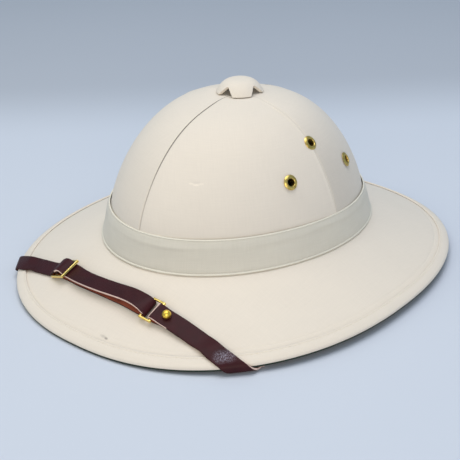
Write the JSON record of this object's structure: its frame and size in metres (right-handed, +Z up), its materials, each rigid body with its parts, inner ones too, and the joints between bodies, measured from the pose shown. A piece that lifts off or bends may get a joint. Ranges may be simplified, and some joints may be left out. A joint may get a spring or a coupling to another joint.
{
  "type": "pith helmet",
  "caption": "Cloth-covered sun helmet with a domed crown, hat band, vent cap and eyelets, a wide drooping brim and a leather chin strap laid over its front.",
  "frame": {"origin": "on the surface that the hat rests on, under the middle of its bounding box", "axes": "+Z up, the front of the hat faces -Y, the wearer's left is +X"},
  "size_m": [0.3082, 0.3503, 0.1437],
  "materials": {
    "cream_cloth": "plain-woven cotton, matt",
    "band_cloth": "cotton twill, matt",
    "green_cloth": "dark green cotton, matt",
    "burgundy_leather": "grained, glossy",
    "gold_brass": "polished",
    "plain_steel": "plain"
  },
  "bodies": {
    "root": {"helmet_shell": "cream_cloth", "brim_binding": "cream_cloth", "underbrim_lining": "green_cloth", "hat_band": "band_cloth", "vent_cap": "cream_cloth", "vent_post": "plain_steel", "eyelet_left_front": "gold_brass", "eyelet_left_top": "gold_brass", "eyelet_left_rear": "gold_brass", "eyelet_right_front": "gold_brass", "eyelet_right_top": "gold_brass", "eyelet_right_rear": "gold_brass", "strap_long": "burgundy_leather", "strap_short": "burgundy_leather", "slide_buckle": "gold_brass", "strap_ring": "gold_brass", "ball_stud": "gold_brass", "strap_rivet_left": "plain_steel", "strap_rivet_right": "plain_steel"}
  },
  "joints": []
}
